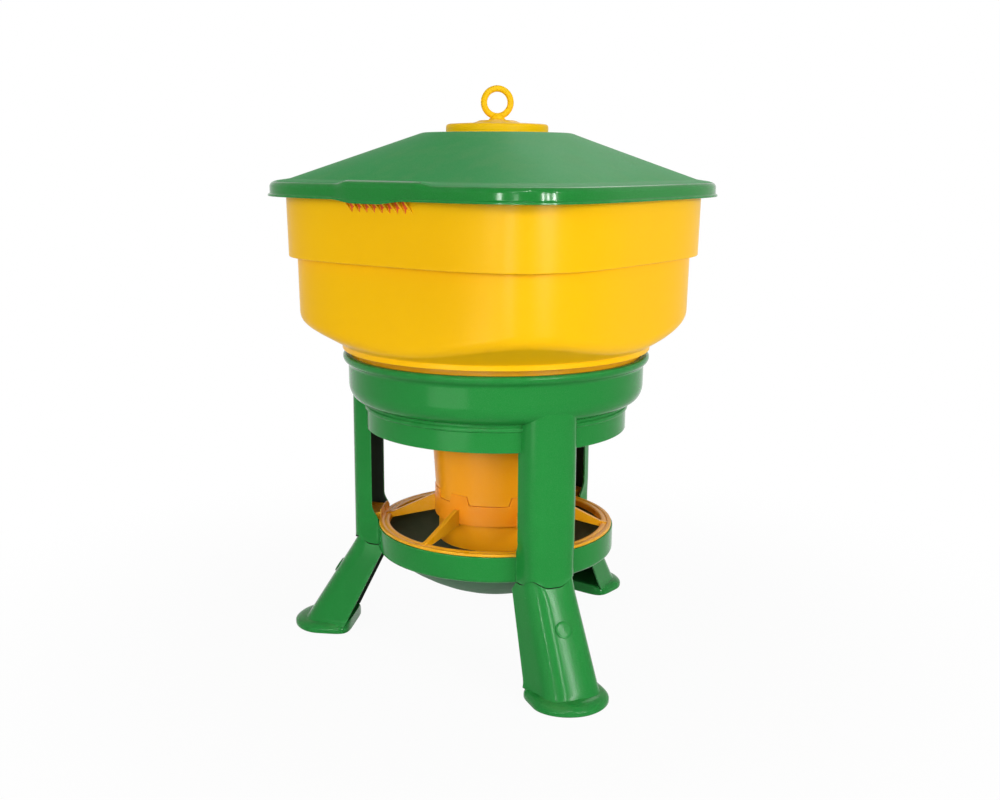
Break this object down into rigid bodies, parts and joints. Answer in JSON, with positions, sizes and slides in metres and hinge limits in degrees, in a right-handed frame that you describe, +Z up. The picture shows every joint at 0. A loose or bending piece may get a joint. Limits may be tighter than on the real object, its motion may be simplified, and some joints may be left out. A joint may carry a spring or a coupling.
{
  "type": "standing poultry feeder",
  "caption": "Rounded-square feed hopper with a sloping lid and filler cap, on a tripod stand; a funnel and tube feed a round pan under a spoked grille.",
  "frame": {"origin": "on the floor, on the hopper's vertical axis", "axes": "+Z up; the hopper's and lid's corners lie on the X and Y axes; the front leg stands 14 degrees from -Y toward +X"},
  "size_m": [0.6692, 0.6692, 0.8446],
  "materials": {
    "green": "glossy injection-moulded",
    "pan_green": "semi-glossy moulded",
    "yellow": "glossy injection-moulded",
    "orange": "semi-glossy moulded",
    "steel": "bright spring steel"
  },
  "bodies": {
    "stand": {"stand_collar": "green", "upright_front": "green", "upright_left": "green", "upright_rear": "green", "feed_pan": "pan_green", "foot_front": "green", "foot_left": "green", "foot_rear": "green", "foot_pin_front": "green", "foot_pin_left": "green", "foot_pin_rear": "green", "spreader_cone": "orange"},
    "grille": {"grille": "orange"},
    "hopper": {"hopper": "yellow", "funnel": "orange", "feed_tube": "orange"},
    "lid": {"lid": "green"},
    "cap": {"filler_cap": "yellow"},
    "ring": {"pull_ring": "yellow", "ring_clip": "steel"}
  },
  "joints": [
    {"name": "grille_lift", "type": "slide", "parent": "stand", "child": "grille", "axis": [0, 0, 1], "range_m": [0, 0.1]},
    {"name": "hopper_lift", "type": "slide", "parent": "grille", "child": "hopper", "axis": [0, 0, 1], "range_m": [0, 0.32]},
    {"name": "lid_lift", "type": "slide", "parent": "hopper", "child": "lid", "axis": [0, 0, 1], "range_m": [0, 0.06]},
    {"name": "cap_lift", "type": "slide", "parent": "lid", "child": "cap", "axis": [0, 0, 1], "range_m": [0, 0.04]},
    {"name": "ring_turn", "type": "hinge", "parent": "cap", "child": "ring", "pos_m": [0, 0, 0.8], "axis": [0, 0, 1], "continuous": true}
  ]
}
